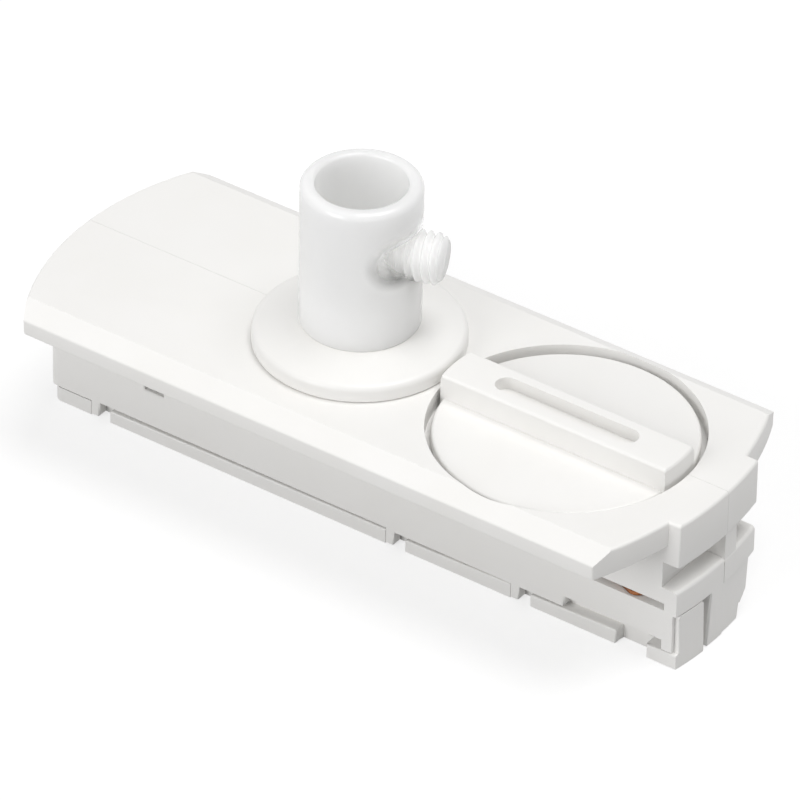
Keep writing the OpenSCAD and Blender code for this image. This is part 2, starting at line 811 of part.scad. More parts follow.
// Knob in one piece: disc, finger bar, spindle and square drive
module lock_knob() {
    disc_r = recess_d / 2 - knob_gap;
    bar_r = recess_d / 2 - bar_gap;
    bar_z1 = disc_z1 + bar_h;
    color(white_knob)
        about_knob(0)
            difference() {
                union() {
                    rotate_extrude()
                        polygon(round_plate(disc_r, disc_z0, disc_z1, edge_r));
                    intersection() {
                        along_x(-bar_r, bar_r)
                            polygon(arch_rect(-bar_w / 2, disc_z0 + edge_r, bar_w / 2, bar_z1, edge_r));
                        rotate_extrude()
                            polygon(round_plate(bar_r, disc_z0, bar_z1, edge_r));
                    }
                    translate([0, 0, wing_z1])
                        cylinder(d = spindle_d, h = disc_z0 - wing_z1 + edge_r);
                    translate([-drive_w / 2, -drive_w / 2, rotor_z0 + fit])
                        cube([drive_w, drive_w, wing_z1 - rotor_z0]);
                }
                coin_slot();
                translate([0, 0, rotor_z0 - eps])
                    cylinder(d = rotor_screw_d + 2 * fit, h = rotor_screw_l - rotor_washer_t + 2 * eps);
            }
}

// Slot with round ends in the finger bar
module coin_slot() {
    translate([0, 0, disc_z1 + bar_h - coin_d])
        linear_extrude(coin_d + eps)
            union() {
                square([coin_l - coin_w, coin_w], center = true);
                for (side = [-1, 1])
                    translate([side * (coin_l - coin_w) / 2, 0])
                        circle(d = coin_w);
            }
}

module slip_washer() {
    color(natural_nylon)
        translate([knob_x, 0, recess_z])
            difference() {
                cylinder(d = slip_d, h = slip_t);
                translate([0, 0, -eps])
                    cylinder(d = spindle_d + 2 * clear, h = slip_t + 2 * eps);
            }
}

// Square hole on the knob axis
module drive_hole(z0, z1) {
    width = drive_w + 2 * fit;
    translate([-width / 2, -width / 2, z0])
        cube([width, width, z1 - z0]);
}

module locking_wing() {
    color(zinc)
        about_knob(0)
            difference() {
                intersection() {
                    translate([-wing_l / 2, -wing_w / 2, wing_z0])
                        cube([wing_l, wing_w, wing_t]);
                    translate([0, 0, wing_z0])
                        cylinder(d = wing_l, h = wing_t);
                }
                drive_hole(wing_z0 - eps, wing_z1 + eps);
            }
}

// Flat blade of a contact arm, grown by the given play
module arm_blade(play) {
    inner = pad_r - pad_d / 2 - play;
    translate([0, 0, slit_z - arm_t / 2 - play])
        linear_extrude(arm_t + 2 * play)
            union() {
                translate([inner, -arm_w / 2 - play])
                    square([arm_r - inner, arm_w + 2 * play]);
                translate([arm_r, 0])
                    circle(d = arm_w + 2 * play);
            }
}

// Post that brings a contact arm down to the underside of the rotor
module arm_post(play) {
    translate([pad_r, 0, rotor_z0 - play])
        cylinder(d = pad_d + 2 * play, h = slit_z - rotor_z0);
}

module contact_arm(turn) {
    color(copper)
        about_knob(turn - arm_rest)
            union() {
                arm_blade(0);
                arm_post(0);
            }
}

module contact_arm_live() {
    contact_arm(0);
}

module contact_arm_neutral() {
    contact_arm(180);
}

module contact_rotor() {
    color(grey_block)
        about_knob(0)
            difference() {
                translate([0, 0, rotor_z0])
                    cylinder(d = rotor_d, h = rotor_h);
                drive_hole(rotor_z0 - eps, wing_z0 + eps);
                for (turn = [0, 180])
                    rotate([0, 0, turn - arm_rest]) {
                        arm_blade(fit);
                        arm_post(fit);
                    }
            }
}

module rotor_washer() {
    color(zinc)
        translate([knob_x, 0, rotor_z0 - rotor_washer_t])
            difference() {
                cylinder(d = rotor_washer_d, h = rotor_washer_t);
                translate([0, 0, -eps])
                    cylinder(d = rotor_screw_d + 2 * fit, h = rotor_washer_t + 2 * eps);
            }
}

// Screw that points up, with its head below z = 0 and a slot in the head
module slotted_screw(d, l, head_d, head_h) {
    difference() {
        union() {
            cylinder(d = d, h = l);
            translate([0, 0, -head_h])
                cylinder(d = head_d, h = head_h);
        }
        translate([-head_d, -driver_w / 2, -head_h - eps])
            cube([2 * head_d, driver_w, head_h / 2 + eps]);
    }
}

module rotor_screw() {
    color(zinc)
        translate([knob_x, 0, rotor_z0 - rotor_washer_t])
            slotted_screw(rotor_screw_d, rotor_screw_l, rotor_head_d, rotor_head_h);
}

module cover_screws() {
    color(zinc)
        for (place = screw_places)
            translate([place[0], place[1], head_z1])
                slotted_screw(cover_screw_d, cover_screw_l, cover_head_d, cover_head_h);
}

// Bent strip from a clamp cage to its button under the rotor; side is -1 near, 1 far
module wiper(side) {
    end_x = knob_x + side * button_x;
    tongue_z = cage_z0 + cage_t;
    color(brass) {
        along_y(side * button_y - wiper_w / 2, side * button_y + wiper_w / 2)
            polygon([[cage_x, tongue_z], [leg_x, tongue_z], [leg_x, wiper_z0], [end_x + pad_d / 2, wiper_z0],
                [end_x + pad_d / 2, wiper_z0 + wiper_t], [leg_x + wiper_t, wiper_z0 + wiper_t],
                [leg_x + wiper_t, tongue_z + wiper_t], [cage_x, tongue_z + wiper_t]]);
        translate([end_x, side * button_y, wiper_z0 + wiper_t - fit])
            cylinder(d = wiper_w - 2 * fit, h = rotor_z0 - pad_gap - wiper_z0 - wiper_t + fit);
    }
}

module wiper_live() {
    wiper(-1);
}

module wiper_neutral() {
    wiper(1);
}

// Box that a clamp cage fills, grown by the given play
module cage_box(side, play) {
    translate([cage_x - cage_l / 2 - play, side * term_pitch / 2 - cage_w / 2 - play, cage_z0 - play])
        cube([cage_l + 2 * play, cage_w + 2 * play, cage_h + 2 * play]);
}

// Insulating block that hangs from the plate, open below for its screws
module terminal_block() {
    color(grey_block)
        difference() {
            translate([term_x0, -term_w / 2, term_z0])
                cube([term_l, term_w, term_h]);
            for (side = [-1, 1]) {
                cage_box(side, fit);
                translate([0, 0, plate_z0 - cage_z0 - cage_h])
                    cage_box(side, fit);
                translate([cage_x, side * term_pitch / 2, term_z0 - eps])
                    cylinder(d = term_head_d + 2 * stub_gap, h = cage_z0 - term_z0 + eps);
                translate([cage_x, side * button_y - wiper_w / 2 - stub_gap, cage_z0 + cage_t - stub_gap])
                    cube([term_l, wiper_w + 2 * stub_gap, wiper_t + 2 * stub_gap]);
                translate([term_x0 - eps, side * term_pitch / 2, cage_z0 + cage_h / 2])
                    rotate([0, 90, 0])
                        cylinder(d = cage_w - 2 * cage_t, h = term_l / 2);
            }
        }
}

// Clamp cage: a short square tube with a tapped hole in its lower wall
module terminal_clamp(side) {
    color(brass)
        difference() {
            cage_box(side, 0);
            translate([cage_x - cage_l, side * term_pitch / 2 - cage_w / 2 + cage_t, cage_z0 + cage_t - fit])
                cube([2 * cage_l, cage_w - 2 * cage_t, cage_h - 2 * cage_t + fit]);
            translate([cage_x, side * button_y - wiper_w / 2 - fit, cage_z0 + cage_t - fit])
                cube([cage_l, wiper_w + 2 * fit, wiper_t + 2 * fit]);
            translate([cage_x, side * term_pitch / 2, cage_z0 - eps])
                cylinder(d = term_screw_d + 2 * fit, h = cage_t + 2 * eps);
        }
}

module terminal_clamp_live() {
    terminal_clamp(-1);
}

module terminal_clamp_neutral() {
    terminal_clamp(1);
}

module terminal_screws() {
    color(zinc)
        for (side = [-1, 1])
            translate([cage_x, side * term_pitch / 2, term_z0 + term_head_h])
                slotted_screw(term_screw_d, 2 * cage_t, term_head_d, term_head_h);
}

// Round collar between the plate and the grip tube, rounded at its rim and rising to the tube
module flange_collar() {
    inner = stub_d / 2 + stub_gap;
    outer = collar_d / 2;
    slope = atan2(collar_rise, outer - collar_r - tube_d / 2);
    color(white_shell)
        turned(grip_x, concat([[inner, housing_h]], arc(outer - edge_r, housing_h + edge_r, edge_r, -90, 0),
            arc(outer - collar_r, collar_z1 - collar_r, collar_r, 0, 90 - slope),
            [[tube_d / 2, grip_z0], [inner, grip_z0]]));
}

// Translucent tube with its threaded stub, bored through for the cord
module cord_grip() {
    outer = tube_d / 2;
    bore = bore_d / 2;
    mouth = mouth_d / 2;
    neck_z = tube_z1 - mouth_l;
    color(natural_nylon)
        difference() {
            turned(grip_x, concat(
                [[bore, nut_z1 - nut_h], [stub_d / 2, nut_z1 - nut_h], [stub_d / 2, grip_z0]],
                arc(outer - edge_r, grip_z0 + edge_r, edge_r, -90, 0),
                arc(outer - rim_r, tube_z1 - rim_r, rim_r, 0, 90),
                arc(mouth + edge_r, tube_z1 - edge_r, edge_r, 90, 180),
                [[mouth, neck_z], [bore, neck_z - (mouth - bore)]]));
            clamp_axis()
                cylinder(d = clamp_d + 2 * run_fit, h = tube_d);
        }
}

// Plain clamp screw with rounded ends; its inner end rests in line with the bore
module clamp_screw() {
    start = bore_d / 2;
    color(natural_nylon)
        clamp_axis()
            translate([0, 0, start])
                rotate_extrude()
                    polygon(round_plate(clamp_d / 2, 0, clamp_reach - start, clamp_r));
}

module hex_nut() {
    color(zinc)
        translate([grip_x, 0, nut_z1 - nut_h])
            difference() {
                cylinder(d = nut_af / cos(30), h = nut_h, $fn = 6);
                translate([0, 0, -eps])
                    cylinder(d = stub_d + 2 * fit, h = nut_h + 2 * eps);
            }
}

module toothed_washer() {
    root_d = tooth_d - 2 * tooth_t;
    tooth_w = PI * root_d / tooth_n / 2;
    color(zinc)
        translate([grip_x, 0, nut_z1])
            difference() {
                union() {
                    cylinder(d = root_d, h = tooth_t);
                    intersection() {
                        cylinder(d = tooth_d, h = tooth_t);
                        for (i = [0:tooth_n - 1])
                            rotate([0, 0, i * 360 / tooth_n])
                                translate([0, -tooth_w / 2, 0])
                                    cube([tooth_d, tooth_w, tooth_t]);
                    }
                }
                translate([0, 0, -eps])
                    cylinder(d = stub_d + 2 * stub_gap, h = tooth_t + 2 * eps);
            }
}

housing_near();
housing_far();
bottom_cover();
lock_knob();
slip_washer();
locking_wing();
contact_rotor();
contact_arm_live();
contact_arm_neutral();
rotor_washer();
rotor_screw();
wiper_live();
wiper_neutral();
terminal_block();
terminal_clamp_live();
terminal_clamp_neutral();
terminal_screws();
flange_collar();
cord_grip();
clamp_screw();
hex_nut();
toothed_washer();
cover_screws();
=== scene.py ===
import json
import math

import bmesh
import bpy
import numpy as np
from mathutils import Matrix, Vector
from mathutils.bvhtree import BVHTree


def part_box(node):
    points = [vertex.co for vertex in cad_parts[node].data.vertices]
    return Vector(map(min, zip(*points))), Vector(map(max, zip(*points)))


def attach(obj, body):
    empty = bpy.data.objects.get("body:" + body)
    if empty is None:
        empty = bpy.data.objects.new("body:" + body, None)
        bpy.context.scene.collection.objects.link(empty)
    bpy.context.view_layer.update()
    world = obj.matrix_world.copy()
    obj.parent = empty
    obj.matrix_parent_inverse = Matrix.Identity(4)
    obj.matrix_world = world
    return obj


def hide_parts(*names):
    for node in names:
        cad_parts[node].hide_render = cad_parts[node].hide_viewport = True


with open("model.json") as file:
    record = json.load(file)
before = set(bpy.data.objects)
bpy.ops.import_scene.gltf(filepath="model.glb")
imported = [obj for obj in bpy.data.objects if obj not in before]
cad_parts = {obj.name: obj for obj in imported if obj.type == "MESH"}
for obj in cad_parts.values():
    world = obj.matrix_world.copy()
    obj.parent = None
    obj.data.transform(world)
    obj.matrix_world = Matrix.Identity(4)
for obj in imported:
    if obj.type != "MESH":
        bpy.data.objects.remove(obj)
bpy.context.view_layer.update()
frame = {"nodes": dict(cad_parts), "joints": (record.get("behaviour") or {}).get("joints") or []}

bl_info = {
    "name": "Track light adapter",
    "version": (1, 0, 0),
    "blender": (4, 5, 0),
    "location": "View3D > Sidebar > Adapter",
    "description": "Finishes the shells, lock knob, cord grip and contacts of a track light adapter",
    "category": "Object",
}

MM = 0.001
# Corners of neighbouring triangles closer than this are one corner.
WELD = 0.002 * MM
# Neighbouring triangles that turn by less than this lie in one flat face.
FLAT = math.radians(0.4)
# An edge that turns by more than this is a corner of the moulding and gets rounded.
CORNER = math.radians(22)
# An edge this close to another piece is a joint line and stays fine.
CONTACT = 0.12 * MM
# A corner is rounded only if the next one beside it is at least this many roundings away.
CORNER_ROOM = 2.2
# Two edges run beside each other if the cosine of the angle between them is over this.
BESIDE = 0.9
# An edge of the thread that turns by more than this shows as a crease.
CREASE = math.radians(50)
# Rows of points for each turn of the thread, and points round it.
THREAD_ROWS = 20
THREAD_COLUMNS = 72
# Slope of the thread's wave and how far it is lowered, which leave a narrow flat at root and crest.
THREAD_SLOPE = 1.25
THREAD_ROOT = 0.12
# The tube is nearly clear within the first distance of a line across its wall at the screw, and milky
# beyond the second.
CLEAR_WITHIN = 2 * MM
MILKY_BEYOND = 4 * MM
# How opaque the nearly clear part is.
CLEAREST = 0.06
# Share of a lamp's light that each face of the milky tube stops.
STOPPED_LIGHT = 0.4
# Middle of the clear patch: out along the screw and up from its inner end.
CLEAR_OUT = 2.6 * MM
CLEAR_UP = 1.4 * MM
UPWARD = Vector((0, 0, 1))
# The paper floor's half side, and how far it lies under the object.
FLOOR_HALF = 2
FLOOR_DROP = 0.05 * MM
# The paper's tone for light that it throws on the object, and its tone and glow where it is seen.
PAPER_BOUNCE = 0.5
PAPER_TONE = 0.35
PAPER_GLOW = 0.69
# Places of the two soft lamps, which face the origin.
UPPER_LAMP = Vector((0.66, 0.3, 2.9))
FRONT_LAMP = Vector((-0.6, -2.65, 1.2))


def linear(code):
    """Turns an sRGB hex code into linear red, green and blue."""
    share = np.array([int(code[i:i + 2], 16) for i in (1, 3, 5)]) / 255
    low = share / 12.92
    high = ((share + 0.055) / 1.055) ** 2.4
    return tuple(float(v) for v in np.where(share <= 0.04045, low, high))


def colour_property(label, about, code):
    """A colour setting whose default is an sRGB hex code."""
    return bpy.props.FloatVectorProperty(
        name=label, description=about, subtype="COLOR", size=3, min=0, max=1, default=linear(code))


def length_property(label, about, size):
    """A length setting whose default is given in millimetres."""
    return bpy.props.FloatProperty(
        name=label, description=about, unit="LENGTH", min=0, precision=5, default=size * MM)


class AdapterEdges(bpy.types.PropertyGroup):
    """Edge roundings of the moulded pieces"""
    shell: length_property("Shell", "Rounding of the housing's and cover's edges", 0.22)
    joint: length_property("Joint", "Rounding of edges that lie against another piece", 0.012)
    knob: length_property("Knob", "Rounding of the lock knob's edges", 0.25)
    collar: length_property("Collar", "Rounding of the flange collar's edges", 0.2)


class AdapterScrew(bpy.types.PropertyGroup):
    """Thread of the clamp screw"""
    pitch: length_property("Pitch", "Distance from one thread crest to the next", 1.0)
    depth: length_property("Depth", "Depth of the thread", 0.5)
    chamfer: length_property("Chamfer", "Chamfer at both ends of the screw", 0.55)


class AdapterColours(bpy.types.PropertyGroup):
    """Colours of the finishes"""
    shell: colour_property("Shell", "White polycarbonate of the housing", "#F0EFED")
    knob: colour_property("Knob", "White polycarbonate of the lock knob", "#F1F0EE")
    nylon: colour_property("Nylon", "Natural nylon of the cord grip and its screw", "#FAFAF8")
    insulator: colour_property("Insulator", "Moulded urea of the rotor and terminal block", "#D6D4CC")
    copper: colour_property("Copper", "Bare copper of the contact arms", "#A8714E")
    brass: colour_property("Brass", "Bare brass of the wipers and clamps", "#CBA860")
    zinc: colour_property("Zinc", "Zinc plating of the screws, nut and washers", "#BDC0C3")


class AdapterStage(bpy.types.PropertyGroup):
    """Light and camera"""
    sky: bpy.props.FloatProperty(name="Sky", description="Strength of the even light", default=0.38, min=0)
    key: bpy.props.FloatProperty(
        name="Key", description="Power of the upper soft lamp in watts", default=49.5, min=0)
    fill: bpy.props.FloatProperty(
        name="Fill", description="Power of the front soft lamp in watts", default=36, min=0)
    lamp_size: length_property("Lamp size", "Side of the square soft lamps", 1600)
    lens: bpy.props.FloatProperty(
        name="Lens", description="Focal length in millimetres", default=422.18, min=1)
    distance: length_property("Distance", "Camera to aim point, along the line of sight", 1057.25)
    turn: bpy.props.FloatProperty(
        name="Turn", description="Camera's turn round the object", subtype="ANGLE",
        default=math.radians(34.76))
    tilt: bpy.props.FloatProperty(
        name="Tilt", description="Camera's angle above the floor", subtype="ANGLE",
        default=math.radians(36.04))
    roll: bpy.props.FloatProperty(
        name="Roll", description="Camera's roll", subtype="ANGLE", default=math.radians(0.99))
    pan: length_property("Pan", "Sideways shift of the aim point in the picture", 0.392)
    lift: length_property("Lift", "Upward shift of the aim point in the picture", 4.676)
    aim: bpy.props.FloatVectorProperty(
        name="Aim", description="Point on the cover plate's top", subtype="XYZ", unit="LENGTH", size=3,
        precision=5, default=(0.8 * MM, 0, 19.8 * MM))


def add(tree, kind, values=None, links=None, **settings):
    """Adds a node, sets its attributes and socket values, and links the sockets that feed it."""
    node = tree.nodes.new(kind)
    for name, value in settings.items():
        setattr(node, name, value)
    for name, value in (values or {}).items():
        node.inputs[name].default_value = value
    for name, source in (links or {}).items():
        tree.links.new(source, node.inputs[name])
    return node


def start_material(name, **values):
    """A material with a Principled shader; returns it, its tree, the shader and Object coordinates."""
    material = bpy.data.materials.new(name)
    material.use_nodes = True
    tree = material.node_tree
    tree.nodes.clear()
    shader = add(tree, "ShaderNodeBsdfPrincipled", values)
    add(tree, "ShaderNodeOutputMaterial", links={"Surface": shader.outputs["BSDF"]})
    place = add(tree, "ShaderNodeTexCoord").outputs["Object"]
    return material, tree, shader, place


def vary(tree, place, size, low, high, detail=2.0, stretch=(1, 1, 1)):
    """Noise of a real size, in metres, stretched along the axes and mapped from low to high."""
    scaled = add(tree, "ShaderNodeMapping", {"Scale": stretch}, {"Vector": place})
    noise = add(tree, "ShaderNodeTexNoise", {"Scale": 1 / size, "Detail": detail, "Roughness": 0.55},
                {"Vector": scaled.outputs["Vector"]})
    limits = {"From Min": 0.3, "From Max": 0.7, "To Min": low, "To Max": high}
    spread = add(tree, "ShaderNodeMapRange", limits, {"Value": noise.outputs["Fac"]})
    return spread.outputs["Result"]


def tint(tree, shader, amount, colour, shade):
    """Feeds the base colour with a mix from the colour to its shaded tone, by an amount from 0 to 1."""
    deep = tuple(c * s for c, s in zip(colour, shade))
    mix = add(tree, "ShaderNodeMix", data_type="RGBA")
    tree.links.new(amount, mix.inputs["Factor"])
    mix.inputs["A"].default_value = (*colour, 1)
    mix.inputs["B"].default_value = (*deep, 1)
    tree.links.new(mix.outputs["Result"], shader.inputs["Base Color"])


def relief(tree, shader, height, depth, strength=1.0):
    """Feeds the shader's normal with a bump of a real depth in metres."""
    bump = add(tree, "ShaderNodeBump", {"Strength": strength, "Distance": depth}, {"Height": height})
    tree.links.new(bump.outputs["Normal"], shader.inputs["Normal"])


def moulded_polycarbonate(name, colour):
    """White polycarbonate from an eroded mould: an even satin skin with a soft, broad highlight."""
    material, tree, shader, place = start_material(name, IOR=1.58)
    # Flow and cooling leave the tone a trace uneven over about a centimetre.
    tint(tree, shader, vary(tree, place, 11 * MM, 0, 1), colour, (0.982, 0.98, 0.974))
    # The mould's eroded grain is about 0.05 mm; it is drawn at 0.28 mm, the finest that shows.
    grain = vary(tree, place, 0.28 * MM, 0, 1, detail=1)
    tree.links.new(vary(tree, place, 2.5 * MM, 0.4, 0.48), shader.inputs["Roughness"])
    relief(tree, shader, grain, 0.004 * MM, 0.5)
    return material


def natural_nylon(name, colour, screw=None, across=None):
    """Unfilled nylon as it comes from the mould: milky white with a smooth skin, lit from within. Where a
    point at a screw is given, part of the light passes the wall, and the wall is clear enough to show the
    thread near a line across it through that point."""
    material, tree, shader, place = start_material(name, IOR=1.53)
    shader.inputs["Subsurface Weight"].default_value = 1
    shader.inputs["Subsurface Radius"].default_value = (1, 1, 1)
    shader.inputs["Subsurface Scale"].default_value = 4 * MM
    # The crystals that cloud it gather in patches of a few millimetres.
    tint(tree, shader, vary(tree, place, 4 * MM, 0, 1), colour, (0.99, 0.99, 0.99))
    tree.links.new(vary(tree, place, 1.5 * MM, 0.2, 0.27), shader.inputs["Roughness"])
    if screw:
        away = add(tree, "ShaderNodeVectorMath", {1: screw}, {0: place}, operation="SUBTRACT")
        turned = add(tree, "ShaderNodeVectorMath", {1: across}, {0: away.outputs["Vector"]},
                     operation="CROSS_PRODUCT")
        apart = add(tree, "ShaderNodeVectorMath", links={0: turned.outputs["Vector"]}, operation="LENGTH")
        limits = {"From Min": CLEAR_WITHIN, "From Max": MILKY_BEYOND, "To Min": CLEAREST, "To Max": 1}
        milky = add(tree, "ShaderNodeMapRange", limits, {"Value": apart.outputs["Value"]},
                    interpolation_type="SMOOTHSTEP")
        path = add(tree, "ShaderNodeLightPath")
        stopped = add(tree, "ShaderNodeMapRange", {"To Min": 1, "To Max": STOPPED_LIGHT},
                      {"Value": path.outputs["Is Shadow Ray"]})
        alpha = add(tree, "ShaderNodeMath", operation="MULTIPLY",
                    links={0: milky.outputs["Result"], 1: stopped.outputs["Result"]})
        tree.links.new(alpha.outputs["Value"], shader.inputs["Alpha"])
    return material


def moulded_urea(name, colour):
    """Grey urea moulding: a hard, dull insulator with fine filler specks."""
    material, tree, shader, place = start_material(name, IOR=1.55)
    tint(tree, shader, vary(tree, place, 0.3 * MM, 0, 1), colour, (0.9, 0.9, 0.89))
    tree.links.new(vary(tree, place, 2 * MM, 0.45, 0.6), shader.inputs["Roughness"])
    relief(tree, shader, vary(tree, place, 0.25 * MM, 0, 1), 0.005 * MM, 0.5)
    return material


def rolled_metal(name, colour, shade, rough):
    """Bare rolled strip: long fine rolling marks and a dull bloom of tarnish in patches."""
    material, tree, shader, place = start_material(name, Metallic=1.0)
    tint(tree, shader, vary(tree, place, 1.6 * MM, 0, 1, detail=3), colour, shade)
    tree.links.new(vary(tree, place, 1.1 * MM, rough - 0.06, rough + 0.08), shader.inputs["Roughness"])
    # Rolling marks run along the strip, 0.15 mm apart.
    marks = vary(tree, place, 0.15 * MM, 0, 1, stretch=(0.08, 1, 1))
    relief(tree, shader, marks, 0.002 * MM, 0.5)
    return material


def zinc_plating(name, colour):
    """Bright zinc plated steel: cold grey with a fine, slightly cloudy grain."""
    material, tree, shader, place = start_material(name, Metallic=1.0)
    tint(tree, shader, vary(tree, place, 0.9 * MM, 0, 1, detail=3), colour, (0.82, 0.84, 0.87))
    tree.links.new(vary(tree, place, 0.5 * MM, 0.26, 0.4), shader.inputs["Roughness"])
    relief(tree, shader, vary(tree, place, 0.3 * MM, 0, 1), 0.003 * MM, 0.4)
    return material


def finish_node(node, material):
    """Gives a CAD node that stays its material."""
    mesh = frame["nodes"][node].data
    mesh.materials.clear()
    mesh.materials.append(material)


def show(mesh, name, body, slot, material, *nodes):
    """Links a finished mesh as a piece at the origin that rides on a body and stands for CAD nodes."""
    piece = bpy.data.objects.new(name, mesh)
    bpy.context.scene.collection.objects.link(piece)
    mesh.materials.clear()
    mesh.materials.append(material)
    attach(piece, body)
    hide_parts(*nodes)
    return piece


def joined_copy(node, name, flat=0):
    """A copy of a CAD node's mesh and its bmesh, with the triangles joined. If an angle is given, those of
    a face that is flat within it are made one."""
    mesh = frame["nodes"][node].data.copy()
    mesh.name = name
    if "custom_normal" in mesh.attributes:
        mesh.attributes.remove(mesh.attributes["custom_normal"])
    work = bmesh.new()
    work.from_mesh(mesh)
    bmesh.ops.remove_doubles(work, verts=work.verts, dist=WELD)
    if flat:
        bmesh.ops.dissolve_limit(work, angle_limit=flat, verts=work.verts, edges=work.edges)
    return mesh, work


def put_back(mesh, work):
    """Writes a bmesh to its mesh, smooth except at corners."""
    work.to_mesh(mesh)
    work.free()
    mesh.shade_smooth()
    mesh.set_sharp_from_angle(angle=CORNER)


def other_nodes(node):
    """A search tree over the triangles of all the CAD nodes but one."""
    others = bmesh.new()
    for other, piece in frame["nodes"].items():
        if other != node:
            others.from_mesh(piece.data)
    tree = BVHTree.FromBMesh(others)
    others.free()
    return tree


def room(line, corners):
    """Distance from an edge to the nearest corner edge that runs beside it on one of its faces."""
    start = line.verts[0].co
    along = (line.verts[1].co - start).normalized()
    near = [math.inf]
    for face in line.link_faces:
        for other in corners.intersection(face.edges) - {line}:
            low, high = (v.co for v in other.verts)
            if abs((high - low).normalized().dot(along)) > BESIDE:
                near.append(((low + high) / 2 - start).cross(along).length)
    return min(near)


def rounded_copy(node, name, body, slot, material, edge, joint):
    """A joined copy of a moulded CAD node with its outer corners rounded. Each gets a bevel weight, the
    share of the rounding that it takes: the joint rounding's where it lies against another piece, and none
    on a narrow step."""
    mesh, work = joined_copy(node, name, FLAT)
    others = other_nodes(node)
    weight = work.edges.layers.float.new("bevel_weight_edge")
    corners = {line for line in work.edges
               if len(line.link_faces) == 2 and line.calc_face_angle() > CORNER}
    for line in corners:
        if line.is_convex and room(line, corners) > CORNER_ROOM * edge:
            middle = (line.verts[0].co + line.verts[1].co) / 2
            line[weight] = 1 if others.find_nearest(middle, CONTACT)[0] is None else joint / edge
    put_back(mesh, work)
    piece = show(mesh, name, body, slot, material, node)
    bevel = piece.modifiers.new("Edges", "BEVEL")
    bevel.width = edge
    bevel.segments = 2
    bevel.limit_method = "WEIGHT"
    bevel.use_clamp_overlap = False
    bevel.harden_normals = True
    return piece


def grid_mesh(name, points):
    """Closes a grid of points into a mesh: rows run from end to end, columns go round and meet, and a pole
    in the middle of the first and last row closes each end."""
    rows, columns = points.shape[:2]
    body = points.reshape(-1, 3)
    poles = np.array([points[0].mean(axis=0), points[-1].mean(axis=0)])
    row, column = np.meshgrid(np.arange(rows - 1), np.arange(columns), indexing="ij")
    after = (column + 1) % columns
    quads = np.stack([row * columns + column, row * columns + after,
                      (row + 1) * columns + after, (row + 1) * columns + column], axis=-1).reshape(-1, 4)
    ring = np.arange(columns)
    turned = (ring + 1) % columns
    last = (rows - 1) * columns
    first_cap = np.stack([np.full(columns, rows * columns), turned, ring], axis=-1)
    last_cap = np.stack([np.full(columns, rows * columns + 1), last + ring, last + turned], axis=-1)
    mesh = bpy.data.meshes.new(name)
    mesh.from_pydata(np.vstack([body, poles]).tolist(), [],
                     quads.tolist() + first_cap.tolist() + last_cap.tolist())
    mesh.update()
    return mesh


def screw_surface(start, axis, length, radius, pitch, depth, chamfer):
    """Threaded rod: at a length s along the axis and an angle a round it, the radius is the outer radius
    less the depth times a rounded wave of s / pitch - a / turn, and is held under a cone at each end."""
    rows = int(length / pitch * THREAD_ROWS) + 1
    along, angle = np.meshgrid(np.linspace(0, length, rows),
                               np.linspace(0, 2 * np.pi, THREAD_COLUMNS, endpoint=False), indexing="ij")
    phase = (along / pitch - angle / (2 * np.pi)) % 1
    wave = np.clip(THREAD_SLOPE * np.abs(2 * phase - 1) - THREAD_ROOT, 0, 1)
    wave = wave * wave * (3 - 2 * wave)
    cone = radius - chamfer + np.minimum(along, length - along)
    reach = np.minimum(radius - depth * (1 - wave), cone)
    axis = np.array(axis) / np.linalg.norm(axis)
    side = np.cross((0, 0, 1), axis)
    side /= np.linalg.norm(side)
    top = np.cross(axis, side)
    return (np.array(start) + along[..., None] * axis
            + reach[..., None] * (np.cos(angle)[..., None] * side + np.sin(angle)[..., None] * top))


class ADAPTER_OT_shells(bpy.types.Operator):
    """Rounds and finishes the two half shells, the bottom cover and the flange collar"""
    bl_idname = "adapter.shells"
    bl_label = "Moulded shells"

    def execute(self, context):
        edges = context.scene.adapter_edges
        white = moulded_polycarbonate("white_polycarbonate", context.scene.adapter_colours.shell)
        for node, name, edge in (("housing_near", "near_shell", edges.shell),
                                 ("housing_far", "far_shell", edges.shell),
                                 ("bottom_cover", "base_cover", edges.shell),
                                 ("flange_collar", "collar_ring", edges.collar)):
            rounded_copy(node, name, "housing", "white_shell", white, edge, edges.joint)
        return {"FINISHED"}


class ADAPTER_OT_lock_knob(bpy.types.Operator):
    """Rounds and finishes the quarter turn lock knob"""
    bl_idname = "adapter.lock_knob"
    bl_label = "Lock knob"

    def execute(self, context):
        white = moulded_polycarbonate("white_polycarbonate_knob", context.scene.adapter_colours.knob)
        edges = context.scene.adapter_edges
        rounded_copy("lock_knob", "quarter_turn_knob", "lock", "white_knob", white, edges.knob, edges.joint)
        return {"FINISHED"}


